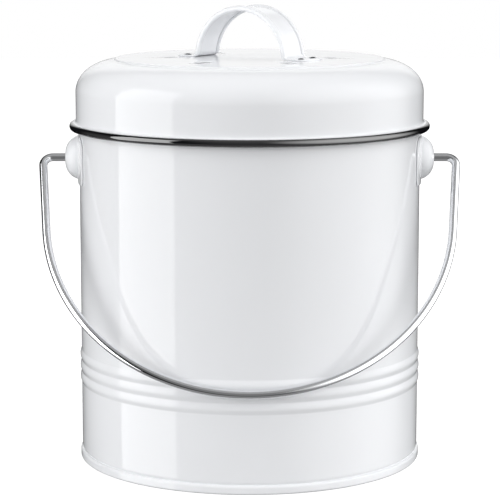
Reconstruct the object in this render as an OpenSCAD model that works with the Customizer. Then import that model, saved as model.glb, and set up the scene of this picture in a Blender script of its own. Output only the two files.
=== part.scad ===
// Countertop compost caddy: a round enamelled steel pail with a wire bail and a
// deep slip-over lid, which holds a carbon filter behind a twist-off grille.
// Millimetres. Origin: centre of the foot, on the floor. +Z up, front is -Y.

/* [Bucket] */
// Outside diameter of the bucket's wall
bucket_d = 180; // [150:1:220]
// Height of the bucket's rim above the floor
bucket_h = 198; // [185:1:240]
// Thickness of the steel sheet of bucket and lid
sheet = 0.6; // [0.5:0.05:0.7]
// How far the folded hem at the rim stands out from the wall
hem_out = 0.6; // [0.4:0.05:1]
// Height of the folded hem at the rim
hem_h = 6; // [4:0.5:10]

/* [Ribs] */
// Number of ribs rolled into the wall
rib_count = 3; // [1:1:5]
// Height of the middle of the lowest rib
rib_z = 43.8; // [30:0.2:60]
// Distance from one rib to the next
rib_pitch = 6; // [5.5:0.1:10]
// Height of one rib along the wall
rib_w = 5.4; // [3:0.1:5.4]
// How far a rib stands out from the wall
rib_out = 0.7; // [0.3:0.05:1]

/* [Foot] */
// Height of the folded foot band
foot_h = 4.9; // [4:0.1:8]
// How far the foot band stands out from the wall
foot_out = 0.9; // [0.8:0.05:1.6]
// How far the wall is drawn in where it enters the foot band
neck_in = 0.5; // [0.3:0.05:0.8]
// Height of the base panel's underside above the floor
panel_z = 3.6; // [2:0.1:3.8]

/* [Ears and bail] */
// Distance from the bucket's rim down to the bail's pivot
pivot_drop = 38; // [37:0.5:60]
// Width of an ear's plate round the wall
ear_w = 50; // [40:1:60]
// Height of an ear's plate
ear_h = 25.2; // [25:0.2:29]
// Radius of the upper corners of an ear's plate
ear_top_round = 8; // [4:0.5:10]
// Radius of the lower corners of an ear's plate
ear_low_round = 3; // [2:0.5:10]
// Thickness of an ear's sheet
ear_t = 0.8; // [0.7:0.05:0.9]
// How far an ear's dome stands out from the wall
dome_out = 7.6; // [6.5:0.1:9]
// Radius of the dome's flat face
dome_flat_r = 2.8; // [2.7:0.1:3.5]
// Radius of the dome's rounded shoulder
dome_round_r = 9; // [8:0.1:9]
// Diameter of the bail's wire
wire_d = 4.3; // [3.5:0.1:4.5]
// Distance from the bucket's wall to the middle of the bail's hoop
hoop_space = 16; // [15:0.5:24]
// Depth of the hoop's middle below the pivot, along the bail
hoop_drop = 36.6; // [30:0.1:50]
// Lean of the bail's legs towards each other, in degrees
leg_lean = 5.1; // [0:0.1:6]
// Radius of the bend between an ear and a leg, along the middle of the wire
bend_r = 5; // [4:0.1:6]
// Radius of the upset heads that hold the wire in its ears
head_r = 3.6; // [3:0.1:4]
// Thickness of the upset heads
head_t = 1.6; // [1:0.1:2]

/* [Lid] */
// Depth of the lid's skirt below the start of its shoulder
skirt_h = 19.9; // [15:0.1:21]
// Height of the rounded shoulder
shoulder_h = 16.5; // [14:0.1:20]
// Width of the rounded shoulder
shoulder_w = 21.4; // [18:0.1:24]
// Height of the step round the raised top
step_h = 1; // [0.8:0.1:2]
// Diameter of the rolled edge at the bottom of the skirt
edge_d = 4; // [3:0.1:4.4]
// Radius of the flare from the skirt to the rolled edge
flare_r = 1.5; // [1:0.1:1.8]
// Turn of the lid as it was put down, in degrees
lid_turn = -32; // [-180:1:180]
// Number of vent holes
vent_count = 6; // [4:1:6]
// Diameter of a vent hole
vent_d = 7.5; // [5:0.1:8]
// Diameter of the ring of vent holes, through their middles
vent_ring_d = 84.5; // [82:0.5:96]
// Turn of the first vent hole from the lid's handle, in degrees
vent_turn = 28; // [26:1:34]

/* [Lid handle] */
// Width of the handle's strap
strap_w = 21; // [16:0.5:24]
// Thickness of the strap
strap_t = 0.8; // [0.6:0.05:1.2]
// Diameter of the rolled edges of the strap
strap_roll_d = 2.9; // [2:0.1:3.2]
// Height of the arch above the lid's raised top
arch_h = 27.6; // [26:0.1:29]
// Radius of the arch, to the outside of its rolled edges
arch_r = 28.1; // [26:0.1:29]
// Radius of the bend at each foot of the arch, along the middle of the strap
arch_foot_r = 3; // [2.4:0.1:3.6]
// Length of each flat foot beyond its bend
tab_l = 11.6; // [10:0.1:14]
// Radius of the rounded end of each foot
tab_round_r = 20; // [16:0.5:30]
// Distance from the end of a foot to its rivets
rivet_inset = 6.1; // [5:0.1:7]
// Distance between the two rivets of a foot
rivet_gap = 12; // [8:0.5:12.5]
// Diameter of a rivet's shank
rivet_d = 3; // [2.4:0.1:3.4]
// Diameter of a rivet's head
rivet_head_d = 4.6; // [4.4:0.1:5.4]
// Height of a rivet's head
rivet_head_h = 0.7; // [0.5:0.1:1]

/* [Filter] */
// Distance from the step round the raised top in to the clips
clip_margin = 3.1; // [2:0.1:6]
// Thickness of the carbon filter pad
pad_t = 8; // [6:0.5:10]
// Thickness of the filter cover's walls
cover_t = 1.4; // [1.2:0.1:2]
// Diameter of the holes in the filter cover
grille_hole_d = 6; // [4:0.1:7]
// Distance from one ring of grille holes to the next
grille_pitch = 10; // [9:0.5:14]
// Number of lugs and clips that hold the filter cover
lug_count = 3; // [3:1:4]
// Width of a lug, in degrees
lug_deg = 14; // [10:1:16]
// How far a lug stands out from the cover
lug_out = 3.6; // [3:0.1:4]
// Thickness of a lug
lug_t = 1.4; // [1.2:0.1:2]
// Thickness of a clip's sheet
clip_t = 0.8; // [0.6:0.05:1]
// Length of the grip bar under the filter cover
grip_l = 26; // [20:1:30]
// Width of the grip bar
grip_t = 4; // [3:0.5:6]
// Depth of the grip bar
grip_h = 7; // [5:0.5:8]

/* [Clearances] */
// Space between the lid's skirt and the bucket's rim
lid_gap = 0.5; // [0.4:0.05:1]
// Space between two parts that rest on each other but come apart
rest_gap = 0.3; // [0.2:0.05:0.35]
// Space between parts that are folded, welded or riveted together
joint_gap = 0.05; // [0.03:0.01:0.1]
// Space round the bail's wire in its ears
pivot_gap = 0.35; // [0.2:0.05:0.5]
// Space round the filter pad in its cover
pad_gap = 0.5; // [0.3:0.1:1]

/* [Hidden] */
$fn = 96;
cut = 1;            // how far a cutter runs past the face that it cuts
round_steps = 6;    // straight pieces in a quarter turn of a small round edge
curve_steps = 15;   // straight pieces in the lid's shoulder
rib_steps = 8;      // straight pieces across one rib

// Bucket
bucket_r = bucket_d / 2;
wall_in_r = bucket_r - sheet;
hem_t = sheet + hem_out;
hem_mid_r = wall_in_r + hem_t / 2;
rim_round_z = bucket_h - hem_t / 2;
rib_top_r = bucket_r + rib_out;

// Foot: the wall ends in a hook, folded into a channel round the base
neck_r = bucket_r - neck_in;
neck_in_r = neck_r - sheet;
foot_r = bucket_r + foot_out;
foot_round = 1;
foot_edge = 0.4;
fold_t = 0.65;
hook_r = foot_r - fold_t - joint_gap;
hook_top = foot_h - fold_t - joint_gap;
channel_r = neck_in_r - joint_gap;
panel_r = channel_r - sheet;
neck_rise = 1.6;

// Ears
pivot_z = bucket_h - pivot_drop;
ear_in_r = bucket_r + joint_gap;
ear_out_r = ear_in_r + ear_t;
dome_x = bucket_r + dome_out;
dome_mid_x = dome_x - dome_round_r;

// Bail, in its own plane: x across, y up, the pivot axis at y = 0
wire_r = wire_d / 2;
hoop_r = bucket_r + hoop_space;
bail_depth = hoop_r + hoop_drop;
bend_x = (hoop_r - bend_r + (hoop_drop - bend_r) * sin(leg_lean)) / cos(leg_lean);
leg_l = bend_x * sin(leg_lean) + (hoop_drop - bend_r) * cos(leg_lean);
head_x = dome_x - ear_t - rest_gap - head_t;
splice_l = 0.3;                 // how far a straight length runs into a bend
straight_r = wire_r - 0.02;     // a hair thinner than the bends, so that it stays inside them
bail_lean = asin((rib_top_r + rest_gap + wire_r) / bail_depth);

// Lid: its shoulder is a quarter ellipse, seated on the rim
lid_in_r = bucket_r + hem_out + lid_gap;
lid_r = lid_in_r + sheet;
disc_r = lid_r - shoulder_w;
seat_reach = hem_t / 2 + rest_gap;
seat_w = shoulder_w - sheet - seat_reach;
seat_h = shoulder_h - sheet - seat_reach;
seat_rise = seat_h * sqrt(1 - pow((hem_mid_r - disc_r) / seat_w, 2));
shoulder_z = rim_round_z - seat_rise;
disc_z = shoulder_z + shoulder_h + step_h;
disc_under_z = disc_z - sheet;
step_slope = 0.8;

// Rolled edge: its top is cut flat, and the flare of the skirt stands on the cut
edge_r = edge_d / 2;
edge_cut = 0.2;
edge_mid_r = lid_in_r + edge_r;
edge_z = shoulder_z - skirt_h + edge_r;
edge_top_z = edge_z + edge_r - edge_cut;
flare_lip = 0.1;
flare_x = lid_r + flare_r;
flare_z = edge_top_z + flare_lip + flare_r;
flare_end = asin((flare_r + flare_lip) / (flare_r + sheet));

// Lid handle, in its own frame: x along the arch
strap_roll_r = strap_roll_d / 2;
arch_mid_r = arch_r - strap_roll_r;
arch_z = disc_z + arch_h - arch_r;
foot_z = disc_z + strap_t / 2 + arch_foot_r;
foot_deg = asin((foot_z - arch_z) / (arch_mid_r + arch_foot_r));    // where arch and foot meet
tab_start = (arch_mid_r + arch_foot_r) * cos(foot_deg);
tab_end = tab_start + tab_l;
bend_t = strap_t - 0.04;        // a foot's bend is a hair thinner than the arch and the tab, so
bend_w = strap_w - 0.4;         // that its ends stay inside them
bend_splice = 5;                // degrees that it runs into each of them
rivet_u = tab_end - rivet_inset;
rivet_r = rivet_d / 2;
tail_out = 0.6;
tail_t = 0.6;

// Filter, hung under the raised top
clip_gap = 0.4;
clip_out_r = disc_r - clip_margin;
clip_in_r = clip_out_r - clip_t;
lug_r = clip_in_r - clip_gap;
cover_r = lug_r - lug_out;
cover_in_r = cover_r - cover_t;
pad_r = cover_in_r - pad_gap;
clip_foot_r = cover_r + clip_gap;
lug_top_z = disc_under_z - clip_t - clip_gap;
pad_top_z = lug_top_z - rest_gap;
pad_z = pad_top_z - pad_t;
cover_floor_z = pad_z - joint_gap;
cover_z = cover_floor_z - cover_t;
clip_low_z = lug_top_z - lug_t - rest_gap - clip_t;
stop_deg = 1.5;
stop_gap_deg = 0.4;
clip_end_deg = 0.5;
clip_deg = lug_deg + stop_gap_deg + stop_deg + 2 * clip_end_deg;
clip_mid_deg = -(stop_gap_deg + stop_deg) / 2;
grille_rings = floor((cover_in_r - grille_hole_d / 2 - 1) / grille_pitch);

white_enamel = [0.93, 0.94, 0.95];
black_enamel = [0.03, 0.03, 0.03];
bright_wire = [0.72, 0.73, 0.75];
rivet_steel = [0.8, 0.81, 0.83];
white_plastic = [0.85, 0.86, 0.86];
carbon = [0.12, 0.12, 0.13];

// Points of an arc round [x, y] from angle a to angle b
function arc_points(x, y, r, a, b, steps) =
    [for (i = [0 : steps]) let (t = a + (b - a) * i / steps) [x + r * cos(t), y + r * sin(t)]];

// Points of one rib, from the bottom up, on a wall of radius r
function rib_points(r, z) =
    [for (i = [0 : rib_steps]) let (s = 2 * i / rib_steps - 1)
        [r + rib_out * cos(90 * s), z + s * rib_w / 2]];

// Points of all ribs, from the bottom up
function ribs_points(r) =
    [for (k = [0 : rib_count - 1]) each rib_points(r, rib_z + k * rib_pitch)];

// A list in reverse order
function reversed(list) = [for (i = [len(list) - 1 : -1 : 0]) list[i]];

// Quarter ellipse of the lid's shoulder, a sheet's thickness in from the outside
function shoulder_points(inset, a, b) =
    [for (i = [0 : curve_steps]) let (t = a + (b - a) * i / curve_steps)
        [disc_r + (shoulder_w - inset) * sin(t), shoulder_z + (shoulder_h - inset) * cos(t)]];

// A piece of a ring with a rectangular section, centred on +X
module ring_part(inner_r, outer_r, z, h, deg) {
    rotate([0, 0, -deg / 2])
        rotate_extrude(angle = deg)
            translate([inner_r, z]) square([outer_r - inner_r, h]);
}

// ---- Bucket ----

module bucket_wall() {
    outside = concat(
        [[neck_in_r, sheet + joint_gap], [hook_r, sheet + joint_gap], [hook_r, hook_top],
         [neck_r, hook_top], [neck_r, foot_h + joint_gap], [bucket_r, foot_h + neck_rise]],
        ribs_points(bucket_r),
        [[bucket_r, bucket_h - hem_h], [bucket_r + hem_out, bucket_h - hem_h + hem_out]],
        arc_points(hem_mid_r, rim_round_z, hem_t / 2, 0, 180, 2 * round_steps));
    inside = concat(
        reversed(ribs_points(wall_in_r)),
        [[wall_in_r, foot_h + neck_rise], [neck_in_r, foot_h + joint_gap]]);
    color(white_enamel)
        rotate_extrude() polygon(concat(outside, inside));
}

module bucket_base() {
    profile = concat(
        [[0, panel_z], [panel_r, panel_z], [panel_r, foot_edge], [panel_r + foot_edge, 0]],
        arc_points(foot_r - foot_round, foot_round, foot_round, -90, 0, round_steps),
        arc_points(foot_r - foot_round, foot_h - foot_round, foot_round, 0, 90, round_steps),
        [[neck_r + joint_gap, foot_h], [neck_r + joint_gap, hook_top + joint_gap],
         [hook_r + joint_gap, hook_top + joint_gap], [hook_r + joint_gap, sheet],
         [channel_r, sheet], [channel_r, panel_z + sheet], [0, panel_z + sheet]]);
    color(white_enamel)
        rotate_extrude() polygon(profile);
}

// Half a section of a dome, from its axis out, a given depth under its surface
module dome_section(depth) {
    square([dome_flat_r, dome_x - depth]);
    square([dome_flat_r + dome_round_r - depth, dome_mid_x]);
    intersection() {
        translate([dome_flat_r, dome_mid_x]) circle(r = dome_round_r - depth);
        translate([dome_flat_r - cut, dome_mid_x - cut]) square(2 * dome_round_r);
    }
}

module dome(depth) rotate([0, 90, 0]) rotate_extrude() dome_section(depth);

// A pair of rounded corners of the ear's plate, at the given side
module ear_corners(r, side) {
    for (x = [-1, 1])
        translate([x * (ear_w / 2 - r), side * (ear_h / 2 - r)]) circle(r = r);
}

// The ear's plate seen from the side, its pivot at the origin
module ear_outline() {
    straight_h = ear_h - ear_top_round - ear_low_round;
    ear_corners(ear_top_round, 1);
    ear_corners(ear_low_round, -1);
    translate([-ear_w / 2, ear_low_round - ear_h / 2]) square([ear_w, straight_h]);
    translate([ear_low_round - ear_w / 2, -ear_h / 2])
        square([ear_w - 2 * ear_low_round, ear_h - ear_top_round]);
    translate([ear_top_round - ear_w / 2, 0])
        square([ear_w - 2 * ear_top_round, ear_h / 2]);
}

// A plate bent round the wall, with rounded corners, on the +X side
module ear_plate() {
    intersection() {
        cylinder(r = ear_out_r, h = 2 * ear_h, center = true);
        rotate([90, 0, 90]) linear_extrude(height = 2 * ear_out_r) ear_outline();
    }
}

// An ear on the +X side, its pivot at the origin's height
module ear() {
    color(white_enamel)
        difference() {
            union() {
                ear_plate();
                dome(0);
            }
            dome(ear_t);
            rotate([0, 90, 0]) cylinder(r = wire_r + pivot_gap, h = dome_x + cut);
            cylinder(r = ear_in_r, h = 2 * ear_h + cut, center = true);
        }
}

module ear_right() translate([0, 0, pivot_z]) ear();
module ear_left() translate([0, 0, pivot_z]) mirror([1, 0, 0]) ear();

// ---- Bail ----

// A bend of the wire: an arc of the given radius round the origin, from 0 degrees
module wire_arc(r, deg) rotate_extrude(angle = deg) translate([r, 0]) circle(r = wire_r);

// The +X side of the bail: head, stub, bend and leg
module bail_side() {
    translate([head_x, 0]) rotate([0, 90, 0]) cylinder(r = head_r, h = head_t);
    translate([head_x, 0]) rotate([0, 90, 0])
        cylinder(r = straight_r, h = bend_x - head_x + splice_l);
    translate([bend_x, -bend_r]) rotate([0, 0, -leg_lean]) {
        wire_arc(bend_r, 90 + leg_lean);
        translate([bend_r, splice_l]) rotate([90, 0, 0])
            cylinder(r = straight_r, h = leg_l + 2 * splice_l);
    }
}

module bail_handle() {
    color(bright_wire)
        translate([0, 0, pivot_z]) rotate([90 - bail_lean, 0, 0]) {
            bail_side();
            mirror([1, 0, 0]) bail_side();
            translate([0, -hoop_drop]) rotate([0, 0, leg_lean - 180])
                wire_arc(hoop_r, 180 - 2 * leg_lean);
        }
}

// ---- Lid ----

module lid_shell() {
    step_angle = asin(step_slope / shoulder_w);
    step_angle_in = asin((step_slope + sheet / 2) / (shoulder_w - sheet));
    outside = concat(
        [[flare_x, edge_top_z]],
        arc_points(flare_x, flare_z, flare_r, 270, 180, round_steps),
        shoulder_points(0, 90, step_angle),
        [[disc_r, disc_z], [0, disc_z]]);
    inside = concat(
        [[0, disc_under_z], [disc_r - sheet / 2, disc_under_z]],
        shoulder_points(sheet, step_angle_in, 90),
        arc_points(flare_x, flare_z, flare_r + sheet, 180, 180 + flare_end, round_steps));
    color(white_enamel)
        difference() {
            rotate_extrude() polygon(concat(outside, inside));
            rotate([0, 0, lid_turn]) {
                for (k = [0 : vent_count - 1])
                    rotate([0, 0, vent_turn + k * 360 / vent_count])
                        translate([vent_ring_d / 2, 0, disc_under_z - cut])
                            cylinder(d = vent_d, h = sheet + 2 * cut);
                rivet_cuts();
            }
        }
}

module lid_rolled_edge() {
    color(black_enamel)
        translate([0, 0, edge_z]) rotate_extrude() translate([edge_mid_r, 0]) difference() {
            circle(r = edge_r);
            translate([-edge_r, edge_r - edge_cut]) square(2 * edge_r);
        }
}

// Section of the arch: the strap with a rolled edge on each side
module arch_section() {
    square([strap_t, strap_w - strap_roll_d], center = true);
    for (side = [-1, 1])
        translate([0, side * (strap_w / 2 - strap_roll_r)]) circle(r = strap_roll_r);
}

// One foot of the handle, on the +X side: the bend and the flat tab
module handle_foot() {
    translate([tab_start, 0, foot_z]) rotate([90, 0, 0])
        rotate([0, 0, 180 + foot_deg - bend_splice])
            rotate_extrude(angle = 90 - foot_deg + 2 * bend_splice)
                translate([arch_foot_r, 0]) square([bend_t, bend_w], center = true);
    translate([0, 0, disc_z]) intersection() {
        translate([tab_start, -strap_w / 2, 0])
            cube([tab_end - tab_start, strap_w, strap_t]);
        translate([tab_end - tab_round_r, 0, -cut])
            cylinder(r = tab_round_r, h = strap_t + 2 * cut);
    }
}

module lid_handle() {
    color(white_enamel)
        rotate([0, 0, lid_turn]) difference() {
            union() {
                translate([0, 0, arch_z]) rotate([90, 0, 0]) rotate([0, 0, foot_deg])
                    rotate_extrude(angle = 180 - 2 * foot_deg)
                        translate([arch_mid_r, 0]) arch_section();
                handle_foot();
                mirror([1, 0, 0]) handle_foot();
            }
            rivet_cuts();
        }
}

// Places its children at the rivets, in the handle's frame
module at_rivets() {
    for (x = [-1, 1], y = [-1, 1])
        translate([x * rivet_u, y * rivet_gap / 2, 0]) children();
}

// Holes for the rivets through foot and lid
module rivet_cuts() {
    at_rivets() translate([0, 0, disc_under_z - cut])
        cylinder(r = rivet_r + joint_gap, h = strap_t + sheet + 2 * cut);
}

// One rivet: shank, domed head on the foot and flat tail under the lid
module rivet() {
    head_z = disc_z + strap_t;
    head_r = rivet_head_d / 2;
    ball_r = (head_r * head_r + rivet_head_h * rivet_head_h) / (2 * rivet_head_h);
    ball_z = head_z + rivet_head_h - ball_r;
    crown_deg = 85;
    rotate_extrude() polygon(concat(
        [[0, disc_under_z - tail_t], [rivet_r + tail_out, disc_under_z - tail_t],
         [rivet_r + tail_out, disc_under_z], [rivet_r, disc_under_z], [rivet_r, head_z]],
        arc_points(0, ball_z, ball_r, asin((head_z - ball_z) / ball_r), crown_deg, round_steps),
        [[0, ball_z + ball_r]]));
}

module handle_rivets() {
    color(rivet_steel)
        rotate([0, 0, lid_turn]) at_rivets() rivet();
}

// ---- Filter ----

// Places its children at the clips, in the lid's frame
module at_clips() {
    for (k = [0 : lug_count - 1])
        rotate([0, 0, lid_turn + k * 360 / lug_count]) children();
}

// One clip: a C of sheet welded under the lid, closed near the end where the lug stops
module filter_clip() {
    rotate([0, 0, clip_mid_deg - clip_deg / 2])
        rotate_extrude(angle = clip_deg) polygon([
            [clip_foot_r, disc_under_z], [clip_out_r, disc_under_z],
            [clip_out_r, clip_low_z], [clip_foot_r, clip_low_z],
            [clip_foot_r, clip_low_z + clip_t], [clip_in_r, clip_low_z + clip_t],
            [clip_in_r, disc_under_z - clip_t], [clip_foot_r, disc_under_z - clip_t]]);
    rotate([0, 0, -(lug_deg + stop_deg) / 2 - stop_gap_deg])
        ring_part(clip_foot_r + clip_gap, clip_out_r - clip_t / 2,
            clip_low_z + clip_t / 2, disc_under_z - clip_low_z - clip_t, stop_deg);
}

module filter_clips() {
    color(white_enamel) at_clips() filter_clip();
}

module filter_pad() {
    color(carbon)
        translate([0, 0, pad_z]) cylinder(r = pad_r, h = pad_t);
}

// The dish, its three lugs and the grip bar, drilled with rings of round holes
module filter_cover() {
    color(white_plastic) {
        difference() {
            translate([0, 0, cover_z]) cylinder(r = cover_r, h = lug_top_z - cover_z);
            translate([0, 0, cover_floor_z]) cylinder(r = cover_in_r, h = lug_top_z);
            rotate([0, 0, lid_turn]) for (ring = [2 : grille_rings]) {
                count = floor(2 * PI * ring);
                for (k = [0 : count - 1])
                    rotate([0, 0, k * 360 / count])
                        translate([ring * grille_pitch, 0, cover_z - cut])
                            cylinder(d = grille_hole_d, h = cover_t + 2 * cut);
            }
        }
        at_clips() ring_part(cover_in_r + cover_t / 2, lug_r, lug_top_z - lug_t, lug_t, lug_deg);
        rotate([0, 0, lid_turn])
            translate([-grip_l / 2, -grip_t / 2, cover_z - grip_h])
                cube([grip_l, grip_t, grip_h + cover_t / 2]);
    }
}

bucket_wall();
bucket_base();
ear_left();
ear_right();
bail_handle();
lid_shell();
lid_rolled_edge();
lid_handle();
handle_rivets();
filter_clips();
filter_pad();
filter_cover();
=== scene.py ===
"""The looks of a countertop compost caddy: enamelled pail and lid, wire bail, strap handle and filter.

Shapes are written in millimetres and turned into metres when their mesh is made.
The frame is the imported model: +Z up, the front faces -Y, the origin is on the floor.
"""

import math

import bmesh
import bpy
from mathutils import Matrix, Vector


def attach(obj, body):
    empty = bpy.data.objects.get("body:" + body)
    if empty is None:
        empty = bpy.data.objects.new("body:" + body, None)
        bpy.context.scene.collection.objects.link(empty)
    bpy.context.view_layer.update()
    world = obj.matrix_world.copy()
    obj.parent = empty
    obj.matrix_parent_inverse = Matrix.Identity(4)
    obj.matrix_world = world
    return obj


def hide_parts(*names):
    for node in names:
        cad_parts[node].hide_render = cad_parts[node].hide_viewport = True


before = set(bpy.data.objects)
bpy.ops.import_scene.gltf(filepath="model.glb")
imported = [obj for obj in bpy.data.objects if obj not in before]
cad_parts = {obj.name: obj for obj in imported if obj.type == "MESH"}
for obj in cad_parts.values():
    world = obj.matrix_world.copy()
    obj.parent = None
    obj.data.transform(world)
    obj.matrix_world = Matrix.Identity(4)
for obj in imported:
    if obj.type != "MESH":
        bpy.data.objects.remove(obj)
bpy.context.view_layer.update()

MM = 0.001

# Bucket
BUCKET_R = 90.0
SHEET = 0.6
RIM_Z = 198.0
HEM_OUT = 0.6
HEM_H = 6.0
NECK_IN = 0.5
NECK_TOP = 6.5
RIB_ZS = (43.8, 49.8, 55.8)
RIB_W = 5.9
RIB_OUT = 0.7
FOOT_R = 90.9
FOOT_H = 4.9
FOLD_T = 0.65
JOINT_GAP = 0.05
PANEL_Z = 3.6

# Ears and bail
PIVOT_Z = 160.0
EAR_HALF_W = 25.0
EAR_HALF_H = 12.6
EAR_TOP_ROUND = 8.0
EAR_LOW_ROUND = 3.0
EAR_T = 0.8
DOME_X = 97.6
DOME_FLAT_R = 2.8
DOME_ROUND_R = 9.0
DOME_SKIRT = 4.0
EAR_BLEND = 0.6
EAR_HOLE_R = 2.5
EAR_HOLE_ROUND = 0.12
WIRE_R = 2.14
HOOP_R = 106.0
HOOP_DROP = 36.6
LEG_LEAN = math.radians(5.1)
BEND_R = 5.0
HEAD_R = 3.6
HEAD_T = 1.6
REST_GAP = 0.3

# Lid
LID_R = 91.7
DISC_R = 70.3
SHOULDER_Z = 195.28
SHOULDER_W = 21.4
SHOULDER_H = 16.5
DISC_Z = 212.78
STEP_W = 1.2
EDGE_R = 1.995
EDGE_CUT = 0.2
EDGE_Z = 177.38
FLARE_R = 1.5
FLARE_LIP = 0.1
LID_TURN = math.radians(-32)
VENT_COUNT = 6
VENT_R = 3.75
VENT_RING_R = 42.25
VENT_TURN = math.radians(28)

# Lid handle
STRAP_W = 21.0
STRAP_T = 0.8
STRAP_ROLL_R = 1.45
ARCH_H = 27.6
ARCH_MID_R = 26.65
ARCH_FOOT_R = 3.0
TAB_L = 11.6
TAB_ROUND_R = 20.0
ARCH_Z = DISC_Z + ARCH_H - ARCH_MID_R - STRAP_ROLL_R
FOOT_Z = DISC_Z + STRAP_T / 2 + ARCH_FOOT_R
FOOT_MEET = math.asin((FOOT_Z - ARCH_Z) / (ARCH_MID_R + ARCH_FOOT_R))
TAB_START = (ARCH_MID_R + ARCH_FOOT_R) * math.cos(FOOT_MEET)
TAB_END = TAB_START + TAB_L
RIVET_U = TAB_END - 6.1
RIVET_GAP = 12.0
RIVET_HEAD_R = 2.3
RIVET_HEAD_H = 0.7
RIVET_SHANK_R = 1.5
RIVET_TAIL_R = 2.1
RIVET_TAIL_H = 0.6

# Filter
PAD_R = 60.5
PAD_LOW = 202.68
PAD_HIGH = 210.68

TAU = 2 * math.pi


# ---------------------------------------------------------------- camera

def make_camera():
    """The photograph's view: a long lens, a little above the lid, looking slightly down."""
    data = bpy.data.cameras.new("camera")
    data.sensor_width = 36
    data.lens = 157.05
    camera = bpy.data.objects.new("camera", data)
    camera.location = (0.0002, -1.1507, 0.293)
    camera.rotation_euler = (math.radians(80.97), 0, 0)
    bpy.context.collection.objects.link(camera)
    bpy.context.scene.camera = camera


# ---------------------------------------------------------------- meshes

def arc(cx, cy, r, start, end, steps):
    """Points of an arc round (cx, cy), angles in degrees."""
    angles = [math.radians(start + (end - start) * i / steps) for i in range(steps + 1)]
    return [(cx + r * math.cos(a), cy + r * math.sin(a)) for a in angles]


def ease(t):
    """A smooth step from 0 to 1."""
    return (1 - math.cos(math.pi * t)) / 2


def make_object(name, bm, sharp_deg=32):
    """An object from a bmesh in millimetres, smooth but for edges sharper than the given angle."""
    bmesh.ops.remove_doubles(bm, verts=bm.verts, dist=1e-4)
    bmesh.ops.recalc_face_normals(bm, faces=bm.faces)
    bmesh.ops.scale(bm, vec=(MM, MM, MM), verts=bm.verts)
    mesh = bpy.data.meshes.new(name)
    bm.to_mesh(mesh)
    bm.free()
    mesh.shade_smooth()
    mesh.set_sharp_from_angle(angle=math.radians(sharp_deg))
    obj = bpy.data.objects.new(name, mesh)
    bpy.context.collection.objects.link(obj)
    return obj


def lathe(bm, outline, segments=256):
    """Turns a closed outline of (radius, height) round Z. A UV map runs round it and along it."""
    uv = bm.loops.layers.uv.verify()
    rings = []
    for r, z in outline:
        if r < 1e-6:
            rings.append([bm.verts.new((0, 0, z))] * segments)
        else:
            turn = [TAU * k / segments for k in range(segments)]
            rings.append([bm.verts.new((r * math.cos(a), r * math.sin(a), z)) for a in turn])
    for i, ring in enumerate(rings):
        following = rings[(i + 1) % len(rings)]
        for k in range(segments):
            n = (k + 1) % segments
            corners = [ring[k], ring[n], following[n], following[k]]
            places = [(k, i), (k + 1, i), (k + 1, i + 1), (k, i + 1)]
            kept = [j for j in range(4) if corners[j] is not corners[j - 1]]
            if len(kept) < 3:
                continue
            face = bm.faces.new([corners[j] for j in kept])
            for loop, j in zip(face.loops, kept):
                loop[uv].uv = (places[j][0] / segments, places[j][1] / len(rings))


def skin(bm, rings, closed_ends=True):
    """Joins a row of rings of vertices into a tube. The UV map's u runs along the tube."""
    uv = bm.loops.layers.uv.verify()
    count = len(rings[0])
    for i in range(len(rings) - 1):
        for k in range(count):
            n = (k + 1) % count
            face = bm.faces.new([rings[i][k], rings[i][n], rings[i + 1][n], rings[i + 1][k]])
            places = [(i, k), (i, k + 1), (i + 1, k + 1), (i + 1, k)]
            for loop, (u, v) in zip(face.loops, places):
                loop[uv].uv = (u / len(rings), v / count)
    if closed_ends:
        bm.faces.new(reversed(rings[0]))
        bm.faces.new(rings[-1])


def place(obj, node, body, material):
    """Gives a finished piece its body and its material, and hides the CAD node that it stands in for.
    """
    obj.data.materials.clear()
    obj.data.materials.append(material)
    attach(obj, body)
    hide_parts(node)
    return obj


# ---------------------------------------------------------------- materials

class Nodes:
    """Short calls for building one material's node tree."""

    def __init__(self, name):
        self.material = bpy.data.materials.new(name)
        self.material.use_nodes = True
        self.tree = self.material.node_tree
        self.shader = self.tree.nodes["Principled BSDF"]

    def add(self, kind, **settings):
        """A new node of a kind, with its own settings."""
        node = self.tree.nodes.new("ShaderNode" + kind)
        for key, value in settings.items():
            setattr(node, key, value)
        return node

    def link(self, source, target):
        self.tree.links.new(source, target)

    def noise(self, scale, detail=3, vector=None):
        """A 0 to 1 noise in the object's own space, or along a given vector."""
        node = self.add("TexNoise")
        node.inputs["Scale"].default_value = scale
        node.inputs["Detail"].default_value = detail
        self.link(vector or self.object_place(), node.inputs["Vector"])
        return node.outputs["Fac"]

    def object_place(self):
        return self.add("TexCoord").outputs["Object"]

    def remap(self, value, low, high):
        """Spreads a 0 to 1 value over the range from low to high."""
        node = self.add("MapRange")
        node.inputs["From Min"].default_value = 0.3
        node.inputs["From Max"].default_value = 0.7
        node.inputs["To Min"].default_value = low
        node.inputs["To Max"].default_value = high
        self.link(value, node.inputs["Value"])
        return node.outputs["Result"]

    def tint(self, value, colour_a, colour_b):
        """Mixes two colours by a value and gives the result to the shader."""
        node = self.add("Mix", data_type="RGBA")
        node.inputs["A"].default_value = (*colour_a, 1)
        node.inputs["B"].default_value = (*colour_b, 1)
        self.link(value, node.inputs["Factor"])
        self.link(node.outputs["Result"], self.shader.inputs["Base Color"])

    def bump(self, height, distance, under=None):
        """A normal that a height map tilts, on top of another bump if there is one under it."""
        node = self.add("Bump")
        node.inputs["Distance"].default_value = distance
        node.inputs["Strength"].default_value = 1.0
        self.link(height, node.inputs["Height"])
        if under is not None:
            self.link(under, node.inputs["Normal"])
        return node.outputs["Normal"]

    def set(self, **values):
        """Uniform values of the shader, with _ for each space in a socket's name."""
        for key, value in values.items():
            self.shader.inputs[key.replace("_", " ")].default_value = value


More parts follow.
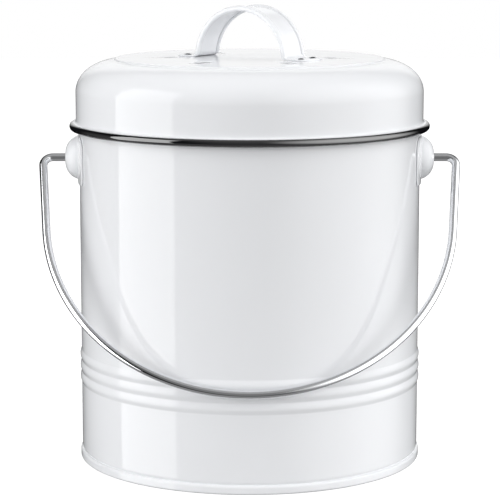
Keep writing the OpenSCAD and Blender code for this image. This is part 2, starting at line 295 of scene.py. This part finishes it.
def enamel(name, colour_a, colour_b, rough, ior):
    """Fired gloss enamel: faint clouding, a slow waviness and a very fine orange peel."""
    m = Nodes(name)
    m.set(Metallic=0.0, IOR=ior)
    m.tint(m.noise(18, 2), colour_a, colour_b)
    m.link(m.remap(m.noise(90, 2), rough[0], rough[1]), m.shader.inputs["Roughness"])
    slow = m.bump(m.noise(35, 1), 0.00006)
    fine = m.bump(m.noise(900, 2), 0.000004, under=slow)
    m.link(fine, m.shader.inputs["Normal"])
    return m.material


def drawn_wire():
    """Bright drawn wire: fine streaks along its length and small changes of gloss."""
    m = Nodes("bright_wire")
    m.set(Metallic=1.0)
    stretch = m.add("Mapping")
    stretch.inputs["Scale"].default_value = (5, 40, 1)
    m.link(m.add("TexCoord").outputs["UV"], stretch.inputs["Vector"])
    streaks = m.noise(4, 3, stretch.outputs["Vector"])
    m.tint(streaks, (0.82, 0.83, 0.85), (0.90, 0.91, 0.93))
    m.link(m.remap(streaks, 0.05, 0.10), m.shader.inputs["Roughness"])
    m.link(m.bump(streaks, 0.000008), m.shader.inputs["Normal"])
    return m.material


def rivet_metal():
    """Plated rivet heads with a faint hammered texture."""
    m = Nodes("rivet_steel")
    m.set(Metallic=1.0)
    m.tint(m.noise(700, 3), (0.72, 0.73, 0.75), (0.82, 0.83, 0.85))
    m.link(m.remap(m.noise(1500, 2), 0.16, 0.30), m.shader.inputs["Roughness"])
    m.link(m.bump(m.noise(1200, 2), 0.00003), m.shader.inputs["Normal"])
    return m.material


def moulded_plastic():
    """White moulded plastic with a fine spark-eroded texture."""
    m = Nodes("white_plastic")
    m.tint(m.noise(30, 2), (0.76, 0.77, 0.76), (0.81, 0.82, 0.81))
    m.link(m.remap(m.noise(200, 2), 0.34, 0.46), m.shader.inputs["Roughness"])
    m.link(m.bump(m.noise(2500, 2), 0.00003), m.shader.inputs["Normal"])
    return m.material


def carbon_felt():
    """Black needled felt: matted fibres, grey lint and a soft sheen."""
    m = Nodes("carbon_felt")
    fibres = m.noise(1800, 6)
    m.tint(m.remap(fibres, 0, 1), (0.012, 0.012, 0.013), (0.075, 0.075, 0.08))
    m.set(Roughness=0.95, Sheen_Weight=0.4, Sheen_Roughness=0.6)
    tufts = m.bump(m.noise(260, 3), 0.0006)
    m.link(m.bump(fibres, 0.0003, under=tufts), m.shader.inputs["Normal"])
    return m.material


# ---------------------------------------------------------------- bucket

def rib_height(z):
    """How far the ribs stand out at a height."""
    for middle in RIB_ZS:
        s = abs(z - middle) / (RIB_W / 2)
        if s < 1:
            return RIB_OUT * math.cos(math.pi / 2 * s) ** 1.3
    return 0.0


def rib_outline(r):
    """The ribbed stretch of a wall of radius r, from the bottom up."""
    low, high = RIB_ZS[0] - RIB_W / 2 - 0.5, RIB_ZS[-1] + RIB_W / 2 + 0.5
    steps = 96
    zs = [low + (high - low) * i / steps for i in range(steps + 1)]
    return [(r + rib_height(z), z) for z in zs]


def neck_outline(r):
    """The stretch where the wall widens out of its foot, from the bottom up."""
    steps = 8
    low = FOOT_H + JOINT_GAP
    return [
        (r - NECK_IN + NECK_IN * ease(i / steps), low + (NECK_TOP - low) * i / steps)
        for i in range(steps + 1)
    ]


def bucket_wall(material):
    """The ribbed wall, with its hem at the rim and the ring at its foot that the base holds."""
    inner = BUCKET_R - SHEET
    hook_r = FOOT_R - FOLD_T - JOINT_GAP
    hook_top = FOOT_H - FOLD_T - JOINT_GAP
    hem_r = BUCKET_R + HEM_OUT
    round_r = (SHEET + HEM_OUT) / 2
    neck_in_r = inner - NECK_IN
    outline = [(neck_in_r, SHEET + JOINT_GAP), (hook_r, SHEET + JOINT_GAP)]
    outline += [(hook_r, hook_top), (BUCKET_R - NECK_IN, hook_top)]
    outline += neck_outline(BUCKET_R) + rib_outline(BUCKET_R)
    outline += arc(BUCKET_R, RIM_Z - HEM_H + HEM_OUT, HEM_OUT, -90, 0, 6)
    outline += arc(hem_r - round_r, RIM_Z - round_r, round_r, 0, 180, 16)
    outline += rib_outline(inner)[::-1] + neck_outline(inner)[::-1]
    bm = bmesh.new()
    lathe(bm, outline, 360)
    wall = make_object("bucket_wall", bm)
    return place(wall, "bucket_wall", "bucket", material)


def bucket_base(material):
    """The base panel, whose rim goes down, out and up round the wall's foot."""
    channel_r = BUCKET_R - NECK_IN - SHEET - JOINT_GAP
    panel_r = channel_r - SHEET
    hook_r = FOOT_R - FOLD_T
    panel_round, inner_round, low_round, high_round, chamfer = 1.2, 0.4, 1.2, 1.4, 0.2
    outline = [(0, PANEL_Z), (panel_r - panel_round, PANEL_Z)]
    outline += arc(panel_r - panel_round, PANEL_Z - panel_round, panel_round, 90, 0, 8)
    outline += arc(panel_r + inner_round, inner_round, inner_round, 180, 270, 6)
    outline += arc(FOOT_R - low_round, low_round, low_round, -90, 0, 12)
    outline += arc(FOOT_R - high_round, FOOT_H - high_round, high_round, 0, 90, 12)
    outline += [(BUCKET_R - NECK_IN + JOINT_GAP, FOOT_H)]
    outline += [(BUCKET_R - NECK_IN + JOINT_GAP, FOOT_H - FOLD_T)]
    outline += [(hook_r, FOOT_H - FOLD_T), (hook_r, SHEET)]
    outline += [(channel_r, SHEET), (channel_r, PANEL_Z + SHEET - chamfer)]
    outline += [(channel_r - chamfer, PANEL_Z + SHEET), (0, PANEL_Z + SHEET)]
    bm = bmesh.new()
    lathe(bm, outline, 360)
    base = make_object("bucket_base", bm)
    return place(base, "bucket_base", "bucket", material)


# ---------------------------------------------------------------- ears

def smooth_max(a, b, blend):
    """The larger of two values, rounded where they meet."""
    h = max(blend - abs(a - b), 0) / blend
    return max(a, b) + h * h * blend / 4


def ear_distance(y, z):
    """Distance outside the outline of an ear's plate, negative inside. z is above the pivot."""
    r = EAR_TOP_ROUND if z > 0 else EAR_LOW_ROUND
    dy = abs(y) - (EAR_HALF_W - r)
    dz = abs(z) - (EAR_HALF_H - r)
    outside = math.hypot(max(dy, 0), max(dz, 0))
    return outside + min(max(dy, dz), 0) - r


def ear_reach(angle):
    """Distance from the pivot to the edge of the plate, at an angle from +Y."""
    low, high = 0.0, 40.0
    for _ in range(40):
        middle = (low + high) / 2
        if ear_distance(middle * math.cos(angle), middle * math.sin(angle)) < 0:
            low = middle
        else:
            high = middle
    return low


def ear_surface(r, y, depth):
    """Height over the axis of the ear's surface, or of one a given depth under it."""
    plate = math.sqrt((BUCKET_R + JOINT_GAP + EAR_T - depth) ** 2 - y * y)
    reach = r - DOME_FLAT_R
    round_r = DOME_ROUND_R - depth
    middle = DOME_X - DOME_ROUND_R
    if reach <= 0:
        dome = DOME_X - depth
    elif reach < round_r:
        dome = middle + math.sqrt(round_r ** 2 - reach ** 2)
    else:
        dome = middle - DOME_SKIRT * (reach - round_r)
    return smooth_max(dome, plate, EAR_BLEND + depth)


def ear_height(r, y, depth):
    """Height over the axis inside the sheet. Each half of the sheet follows its nearer face."""
    if depth <= EAR_T / 2:
        return ear_surface(r, y, 0) - depth
    return ear_surface(r, y, EAR_T) + EAR_T - depth


def ear_radii():
    """Radii of the ear's rings round the pivot, up to where the plate's own outline takes over."""
    step_deg, steps, blend_step = 4, 18, 0.07
    dome = [
        DOME_FLAT_R + DOME_ROUND_R * math.sin(math.radians(step_deg * i))
        for i in range(1, steps + 1)
    ]
    blend = [dome[-1] + blend_step * i for i in range(1, 11)]
    return [EAR_HOLE_R + EAR_HOLE_ROUND, DOME_FLAT_R] + dome + blend


def ear_rows(reach):
    """The ear's rings, from its hole over the outside, round the plate's edge and back inside,
    each as (its radius at every angle, its depth under the outside)."""
    radii = ear_radii()
    last = radii[-1]
    steps = 10
    edge_round, lip, lip_round, under_cut = 0.22, 0.3, 0.04, 0.35
    soft = edge_round * 0.3

    def circle(r):
        return [r] * len(reach)

    def plate(t, inset):
        return [last + (edge - inset - last) * t for edge in reach]

    rows = [(circle(EAR_HOLE_R), EAR_T / 2), (circle(EAR_HOLE_R), EAR_HOLE_ROUND)]
    rows += [(circle(r), 0) for r in radii]
    rows += [(plate(i / steps, edge_round), 0) for i in range(1, steps + 1)]
    rows += [(plate(1, soft), soft), (plate(1, 0), edge_round), (plate(1, 0), EAR_T - lip)]
    rows += [(plate(1, under_cut), EAR_T - lip + lip_round)]
    rows += [(plate(i / steps, under_cut), EAR_T) for i in range(steps, 0, -1)]
    rows += [(circle(r), EAR_T) for r in reversed(radii)]
    return rows + [(circle(EAR_HOLE_R), EAR_T)]


def ear(node, side, material):
    """One ear: a pressed dome in a plate bent round the wall, as one sheet of even thickness."""
    count = 360
    angles = [TAU * k / count for k in range(count)]
    reach = [ear_reach(a) for a in angles]
    bm = bmesh.new()
    rings = []
    for radii, depth in ear_rows(reach):
        ring = []
        for r, a in zip(radii, angles):
            y, z = r * math.cos(a), r * math.sin(a)
            ring.append(bm.verts.new((side * ear_height(r, y, depth), y, PIVOT_Z + z)))
        rings.append(ring)
    rings.append(rings[0])
    skin(bm, rings, closed_ends=False)
    piece = make_object(node, bm, 40)
    return place(piece, node, "bucket", material)


# ---------------------------------------------------------------- bail

def bail_path():
    """The right half of the wire's middle line, from its head to the bottom of the hoop, in the
    bail's own plane, as (x, y, radius of the wire)."""
    sin_l, cos_l = math.sin(LEG_LEAN), math.cos(LEG_LEAN)
    bend_x = (HOOP_R - BEND_R + (HOOP_DROP - BEND_R) * sin_l) / cos_l
    head_x = DOME_X - EAR_T - REST_GAP - HEAD_T
    back_x = head_x + HEAD_T
    crown, brim, neck = 0.6, 0.3, 0.05
    lean = math.degrees(LEG_LEAN)
    head = [(head_x, 0, HEAD_R - 0.5), (head_x + crown / 2, 0, HEAD_R - 0.1)]
    head += [(head_x + crown, 0, HEAD_R), (back_x - brim, 0, HEAD_R)]
    head += [(back_x, 0, HEAD_R - brim), (back_x + neck, 0, WIRE_R)]
    stub = [(back_x + (bend_x - back_x) * i / 8, 0, WIRE_R) for i in range(1, 8)]
    bend = [(x, y, WIRE_R) for x, y in arc(bend_x, -BEND_R, BEND_R, 90, -lean, 20)]
    start = bend[-1]
    hoop = [(x, y, WIRE_R) for x, y in arc(0, -HOOP_DROP, HOOP_R, -lean, -90, 110)]
    end = hoop[0]
    leg_steps = 14
    leg = []
    for i in range(1, leg_steps):
        t = i / leg_steps
        leg.append((start[0] + (end[0] - start[0]) * t, start[1] + (end[1] - start[1]) * t, WIRE_R))
    return head + stub + bend + leg + hoop


def bail_lean():
    """How far the bail leans out from hanging straight, resting on the ribs."""
    return math.asin((BUCKET_R + RIB_OUT + REST_GAP + WIRE_R) / (HOOP_R + HOOP_DROP))


def bail(material):
    """The wire, as a tube along its path, leaning on the ribs."""
    half = bail_path()
    path = half + [(-x, y, r) for x, y, r in half[-2::-1]]
    turned = Matrix.Rotation(math.pi / 2 - bail_lean(), 4, "X")
    count = 40
    bm = bmesh.new()
    rings = []
    for i, (x, y, r) in enumerate(path):
        before, after = path[max(i - 1, 0)], path[min(i + 1, len(path) - 1)]
        along = Vector((after[0] - before[0], after[1] - before[1], 0)).normalized()
        across = Vector((-along.y, along.x, 0))
        ring = []
        for k in range(count):
            a = TAU * k / count
            local = Vector((x, y, 0)) + across * (r * math.cos(a)) + Vector((0, 0, r * math.sin(a)))
            ring.append(bm.verts.new(turned @ local + Vector((0, 0, PIVOT_Z))))
        rings.append(ring)
    skin(bm, rings)
    wire = make_object("bail_handle", bm, 50)
    return place(wire, "bail_handle", "bail", material)


# ---------------------------------------------------------------- lid

def shoulder(inset, start, end, steps):
    """Points of the lid's rounded shoulder, from an angle to an angle off the vertical."""
    points = []
    for i in range(steps + 1):
        a = math.radians(start + (end - start) * i / steps)
        points.append((
            DISC_R + (SHOULDER_W - inset) * math.sin(a),
            SHOULDER_Z + (SHOULDER_H - inset) * math.cos(a),
        ))
    return points


def step_outline(depth):
    """The small step up to the raised top, from outside in, on the outer or inner face."""
    steps = 10
    foot = SHOULDER_Z + SHOULDER_H - depth
    return [
        (DISC_R + STEP_W * (1 - i / steps), foot + (DISC_Z - depth - foot) * ease(i / steps))
        for i in range(steps + 1)
    ]


def lid_outline():
    """The lid's section: flare, skirt, shoulder, step and top, first outside and then inside."""
    edge_top = EDGE_Z + EDGE_R - EDGE_CUT
    flare_x, flare_z = LID_R + FLARE_R, edge_top + FLARE_LIP + FLARE_R
    flare_end = math.degrees(math.asin((FLARE_R + FLARE_LIP) / (FLARE_R + SHEET)))
    step_deg = math.degrees(math.asin(STEP_W / SHOULDER_W))
    outline = [(flare_x, edge_top)]
    outline += arc(flare_x, flare_z, FLARE_R, 270, 180, 16)
    outline += [(LID_R, flare_z + (SHOULDER_Z - flare_z) * i / 4) for i in range(1, 4)]
    outline += shoulder(0, 90, step_deg + 1, 64) + step_outline(0)
    outline += [(DISC_R * t, DISC_Z) for t in (0.98, 0.8, 0.4)] + [(0, DISC_Z), (0, DISC_Z - SHEET)]
    outline += [(DISC_R * t, DISC_Z - SHEET) for t in (0.4, 0.8, 0.98)]
    outline += step_outline(SHEET)[::-1] + shoulder(SHEET, step_deg + 1, 90, 48)
    outline += arc(flare_x, flare_z, FLARE_R + SHEET, 180, 180 + flare_end, 12)
    return outline


def vent_cutter():
    """A ring of round plugs with a flare at their top, which cuts the vents with a softened rim."""
    bm = bmesh.new()
    rim = 0.25
    profile = [(0, DISC_Z - SHEET - 1), (VENT_R, DISC_Z - SHEET - 1)]
    profile += [(VENT_R + rim - rim * math.cos(a), DISC_Z - rim + rim * math.sin(a))
                for a in [math.pi / 2 * i / 4 for i in range(5)]]
    profile += [(VENT_R + rim, DISC_Z + 1), (0, DISC_Z + 1)]
    for k in range(VENT_COUNT):
        turn = LID_TURN + VENT_TURN + TAU * k / VENT_COUNT
        before = set(bm.verts)
        lathe(bm, profile, 64)
        made = [v for v in bm.verts if v not in before]
        offset = Vector((VENT_RING_R * math.cos(turn), VENT_RING_R * math.sin(turn), 0))
        bmesh.ops.translate(bm, verts=made, vec=offset)
    return make_object("vent_cutter", bm)


def cut(obj, cutter):
    """Cuts one object out of another and leaves only the result."""
    modifier = obj.modifiers.new("cut", "BOOLEAN")
    modifier.operation = "DIFFERENCE"
    modifier.solver = "EXACT"
    modifier.object = cutter
    depsgraph = bpy.context.evaluated_depsgraph_get()
    mesh = bpy.data.meshes.new_from_object(obj.evaluated_get(depsgraph))
    obj.modifiers.clear()
    obj.data = mesh
    mesh.name = obj.name
    mesh.shade_smooth()
    mesh.set_sharp_from_angle(angle=math.radians(32))
    bpy.data.objects.remove(cutter)


def lid_shell(material):
    """The lid with its vents cut through."""
    bm = bmesh.new()
    lathe(bm, lid_outline(), 360)
    lid = make_object("lid_shell", bm)
    cut(lid, vent_cutter())
    return place(lid, "lid_shell", "lid", material)


def lid_rolled_edge(material):
    """The rolled edge, flat where it meets the skirt."""
    bm = bmesh.new()
    middle = LID_R - SHEET + EDGE_R
    top = math.degrees(math.asin((EDGE_R - EDGE_CUT) / EDGE_R))
    lathe(bm, arc(middle, EDGE_Z, EDGE_R, top, -180 - top, 44), 360)
    edge = make_object("lid_rolled_edge", bm)
    return place(edge, "lid_rolled_edge", "lid", material)


# ---------------------------------------------------------------- lid handle

def strap_section(half_w, edge_r):
    """Points round the strap's section as (across, out). Its edges are rolled to a radius."""
    half_t = STRAP_T / 2
    edge_r = min(edge_r, half_w)
    lift = min(half_t, edge_r)
    middle = half_w - edge_r
    open_deg = math.degrees(math.asin(lift / edge_r))
    right = arc(middle, 0, edge_r, 180 - open_deg, open_deg - 180, 28)
    left = [(-n, -h) for n, h in right]
    return right + left


def handle_stations():
    """Stations along the strap as (along, height, half width, edge radius)."""
    half_w = STRAP_W / 2
    thin = STRAP_T / 2
    right = []
    tab_steps = 16
    for i in range(tab_steps + 1):
        u = TAB_START + TAB_L * math.sin(math.pi / 2 * (1 - i / tab_steps))
        reach = u - (TAB_END - TAB_ROUND_R)
        width = min(half_w, math.sqrt(max(TAB_ROUND_R ** 2 - reach ** 2, 0.01)))
        right.append((u, DISC_Z + thin, width, thin))
    bend_steps = 12
    for i in range(1, bend_steps):
        a = math.pi * 1.5 - (math.pi / 2 - FOOT_MEET) * i / bend_steps
        u = TAB_START + ARCH_FOOT_R * math.cos(a)
        z = FOOT_Z + ARCH_FOOT_R * math.sin(a)
        edge = thin + (STRAP_ROLL_R - thin) * ease(i / bend_steps)
        right.append((u, z, half_w, edge))
    arch_steps = 96
    arch = []
    for i in range(arch_steps + 1):
        a = FOOT_MEET + (math.pi - 2 * FOOT_MEET) * i / arch_steps
        u, z = ARCH_MID_R * math.cos(a), ARCH_Z + ARCH_MID_R * math.sin(a)
        arch.append((u, z, half_w, STRAP_ROLL_R))
    left = [(-u, z, w, e) for u, z, w, e in reversed(right)]
    return right + arch + left


def lid_handle(material):
    """The strap, as one section swept along its stations."""
    stations = handle_stations()
    along = Vector((math.cos(LID_TURN), math.sin(LID_TURN), 0))
    across = Vector((-math.sin(LID_TURN), math.cos(LID_TURN), 0))
    up = Vector((0, 0, 1))
    bm = bmesh.new()
    rings = []
    for i, (u, z, half_w, edge_r) in enumerate(stations):
        before, after = stations[max(i - 1, 0)], stations[min(i + 1, len(stations) - 1)]
        tangent = (along * (after[0] - before[0]) + up * (after[1] - before[1])).normalized()
        out = across.cross(tangent)
        middle = along * u + up * z
        section = strap_section(half_w, edge_r)
        rings.append([bm.verts.new(middle + across * n + out * h) for n, h in section])
    skin(bm, rings)
    handle = make_object("lid_handle", bm, 38)
    return place(handle, "lid_handle", "lid", material)


def handle_rivets(material):
    """Four rivets with low domed heads, seated on the handle's feet."""
    seat = DISC_Z + STRAP_T
    ball_r = (RIVET_HEAD_R ** 2 + RIVET_HEAD_H ** 2) / (2 * RIVET_HEAD_H)
    ball_z = seat + RIVET_HEAD_H - ball_r
    rim = math.degrees(math.asin((seat + 0.15 - ball_z) / ball_r))
    low = DISC_Z - SHEET
    tail_z = low - RIVET_TAIL_H
    chamfer = 0.2
    outline = [(0, tail_z), (RIVET_TAIL_R - chamfer, tail_z), (RIVET_TAIL_R, tail_z + chamfer)]
    outline += [(RIVET_TAIL_R, low), (RIVET_SHANK_R, low), (RIVET_SHANK_R, seat)]
    outline += [(RIVET_HEAD_R - 0.08, seat), (RIVET_HEAD_R, seat + 0.06)]
    outline += arc(0, ball_z, ball_r, rim, 87, 12) + [(0, ball_z + ball_r)]
    bm = bmesh.new()
    for side in (-1, 1):
        for end in (-1, 1):
            before = set(bm.verts)
            lathe(bm, outline, 48)
            made = [v for v in bm.verts if v not in before]
            bmesh.ops.translate(bm, verts=made, vec=(side * RIVET_U, end * RIVET_GAP / 2, 0))
    bmesh.ops.rotate(bm, verts=bm.verts, cent=(0, 0, 0), matrix=Matrix.Rotation(LID_TURN, 3, "Z"))
    rivets = make_object("handle_rivets", bm)
    return place(rivets, "handle_rivets", "lid", material)


# ---------------------------------------------------------------- filter

def filter_pad(material):
    """A needled felt pad with soft edges and a slightly uneven face."""
    soft = 1.6
    outline = [(0, PAD_LOW)] + [(PAD_R * t, PAD_LOW) for t in (0.25, 0.5, 0.75, 0.9)]
    outline += arc(PAD_R - soft, PAD_LOW + soft, soft, -90, 0, 8)
    outline += arc(PAD_R - soft, PAD_HIGH - soft, soft, 0, 90, 8)
    outline += [(PAD_R * t, PAD_HIGH) for t in (0.9, 0.75, 0.5, 0.25)] + [(0, PAD_HIGH)]
    bm = bmesh.new()
    lathe(bm, outline, 160)
    pad = make_object("filter_pad", bm)
    place(pad, "filter_pad", "filter", material)
    return pad


def dress(node, material):
    """Gives a CAD node that keeps its own shape a better material."""
    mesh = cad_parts[node].data
    mesh.materials.clear()
    mesh.materials.append(material)


# ---------------------------------------------------------------- stage and light

def from_axis(azimuth, distance, height):
    """A point at a distance from the object's axis. Azimuth 0 is in front, 90 on the right."""
    a = math.radians(azimuth)
    return Vector((distance * math.sin(a), -distance * math.cos(a), height))


def floor():
    """A white table top that darkens away from the object. The camera sees it as plain white,
    with the object's shadow."""
    size = 3.0
    near, far = 0.16, 0.36
    near_grey, far_grey, shadow_grey = (0.42,) * 3, (0.10,) * 3, (0.3,) * 3
    mesh = bpy.data.meshes.new("floor")
    corners = [(-size, -size, 0), (size, -size, 0), (size, size, 0), (-size, size, 0)]
    mesh.from_pydata(corners, [], [(0, 1, 2, 3)])
    obj = bpy.data.objects.new("floor", mesh)
    bpy.context.collection.objects.link(obj)
    m = Nodes("floor")
    distance = m.add("VectorMath", operation="LENGTH")
    m.link(m.object_place(), distance.inputs[0])
    fade = m.add("MapRange")
    fade.inputs["From Min"].default_value = near
    fade.inputs["From Max"].default_value = far
    m.link(distance.outputs["Value"], fade.inputs["Value"])
    shade = m.add("Mix", data_type="RGBA")
    shade.inputs["A"].default_value = (*near_grey, 1)
    shade.inputs["B"].default_value = (*far_grey, 1)
    m.link(fade.outputs["Result"], shade.inputs["Factor"])
    table = m.add("BsdfDiffuse")
    m.link(shade.outputs["Result"], table.inputs["Color"])
    pale = m.add("BsdfDiffuse")
    pale.inputs["Color"].default_value = (*shadow_grey, 1)
    glow = m.add("Emission")
    glow.inputs["Strength"].default_value = 0.87
    white = m.add("AddShader")
    m.link(pale.outputs[0], white.inputs[0])
    m.link(glow.outputs[0], white.inputs[1])
    choose = m.add("MixShader")
    m.link(m.add("LightPath").outputs["Is Camera Ray"], choose.inputs["Fac"])
    m.link(table.outputs[0], choose.inputs[1])
    m.link(white.outputs[0], choose.inputs[2])
    m.link(choose.outputs[0], m.tree.nodes["Material Output"].inputs["Surface"])
    m.tree.nodes.remove(m.shader)
    mesh.materials.append(m.material)
    obj.visible_glossy = False


def lamp(name, spot, aim_z, size, radiance, glossy=True):
    """A rectangular lamp of a given radiance, aimed at the object's axis. A lamp that is not
    glossy has no reflection."""
    data = bpy.data.lights.new(name, "AREA")
    data.shape = "RECTANGLE"
    data.size, data.size_y = size
    data.energy = radiance * math.pi * size[0] * size[1]
    obj = bpy.data.objects.new(name, data)
    obj.location = spot
    obj.rotation_euler = (spot - Vector((0, 0, aim_z))).to_track_quat("Z", "Y").to_euler()
    obj.visible_camera = False
    obj.visible_glossy = glossy
    bpy.context.collection.objects.link(obj)


class Sky:
    """The room round the object: soft lobes of light on black, plain white to the camera."""

    def __init__(self):
        world = bpy.data.worlds.new("world")
        world.use_nodes = True
        bpy.context.scene.world = world
        self.tree = world.node_tree
        self.way = self.tree.nodes.new("ShaderNodeTexCoord").outputs["Generated"]
        self.total = 0.0
        self.backdrop = 0.0

    def math(self, operation, a, b):
        """The output of a math node on two numbers or sockets."""
        node = self.tree.nodes.new("ShaderNodeMath")
        node.operation = operation
        for socket, value in zip(node.inputs, (a, b)):
            if isinstance(value, float):
                socket.default_value = value
            else:
                self.tree.links.new(value, socket)
        return node.outputs[0]

    def lobe(self, azimuth, elevation, inner, outer, radiance):
        """Light round one direction, full up to the inner angle and gone at the outer one."""
        e = math.radians(elevation)
        dot = self.tree.nodes.new("ShaderNodeVectorMath")
        dot.operation = "DOT_PRODUCT"
        self.tree.links.new(self.way, dot.inputs[0])
        dot.inputs[1].default_value = from_axis(azimuth, math.cos(e), math.sin(e))
        ramp = self.tree.nodes.new("ShaderNodeMapRange")
        ramp.interpolation_type = "SMOOTHSTEP"
        ramp.inputs["From Min"].default_value = math.cos(math.radians(outer))
        ramp.inputs["From Max"].default_value = math.cos(math.radians(inner))
        ramp.inputs["To Max"].default_value = radiance
        self.tree.links.new(dot.outputs["Value"], ramp.inputs["Value"])
        return ramp.outputs["Result"]

    def add(self, *lobe):
        """Adds a lobe: azimuth, elevation, inner angle, outer angle and radiance."""
        self.total = self.math("ADD", self.total, self.lobe(*lobe))

    def add_backdrop(self, *lobe):
        """A white card above the horizon, which metal, enamel and glass reflect."""
        split = self.tree.nodes.new("ShaderNodeSeparateXYZ")
        self.tree.links.new(self.way, split.inputs[0])
        above = self.math("GREATER_THAN", split.outputs["Z"], 0.0)
        self.backdrop = self.math("MULTIPLY", above, self.lobe(*lobe))

    def finish(self):
        """White for the camera, the lobes for all other rays, and the backdrop for mirrored ones."""
        path = self.tree.nodes.new("ShaderNodeLightPath").outputs
        seen = path["Is Camera Ray"]
        mirrored = self.math("MAXIMUM", path["Is Glossy Ray"], path["Is Transmission Ray"])
        backdrop = self.math("MULTIPLY", mirrored, self.backdrop)
        room = self.math("ADD", self.total, backdrop)
        rest = self.math("MULTIPLY", self.math("SUBTRACT", 1.0, seen), room)
        background = self.tree.nodes["Background"]
        background.inputs["Color"].default_value = (1, 1, 1, 1)
        self.tree.links.new(self.math("ADD", seen, rest), background.inputs["Strength"])


def studio():
    """A tall softbox on the left, a soft front light beside it, a broad soft light on the right,
    a lamp over the back, a white backdrop above the horizon and a dim room elsewhere."""
    floor()
    lamp("key", from_axis(-71.3, 1.0, 0.35), 0.35, (0.83, 1.42), 3.15)
    lamp("left", from_axis(-38, 1.4, 0.15), 0.1, (1.2, 1.0), 2.3, glossy=False)
    lamp("top", from_axis(180, 1.2, 1.6), 0.1, (1.6, 1.2), 2.5, glossy=False)
    sky = Sky()
    sky.add(72, 12, 8, 64, 2.85)
    sky.add(0, 15, 5, 45, 0.2)
    sky.add(0, 80, 10, 50, 0.4)
    sky.add_backdrop(180, 16, 8, 26, 1.0)
    for side in (-1, 1):
        sky.add(108 * side, -5, 10, 30, 0.16)
    sky.add(0, -90, 50, 72, 0.26)
    sky.finish()
    bpy.context.scene.view_settings.view_transform = "Standard"


# ---------------------------------------------------------------- the caddy

make_camera()
white = enamel("white_enamel", (0.80, 0.81, 0.83), (0.84, 0.85, 0.87), (0.04, 0.08), 1.40)
black = enamel("black_enamel", (0.004, 0.004, 0.005), (0.008, 0.008, 0.009), (0.03, 0.07), 2.1)
bucket_wall(white)
bucket_base(white)
ear("ear_right", 1, white)
ear("ear_left", -1, white)
bail(drawn_wire())
lid_shell(white)
lid_rolled_edge(black)
lid_handle(white)
handle_rivets(rivet_metal())
filter_pad(carbon_felt())
dress("filter_cover", moulded_plastic())
dress("filter_clips", white)
studio()
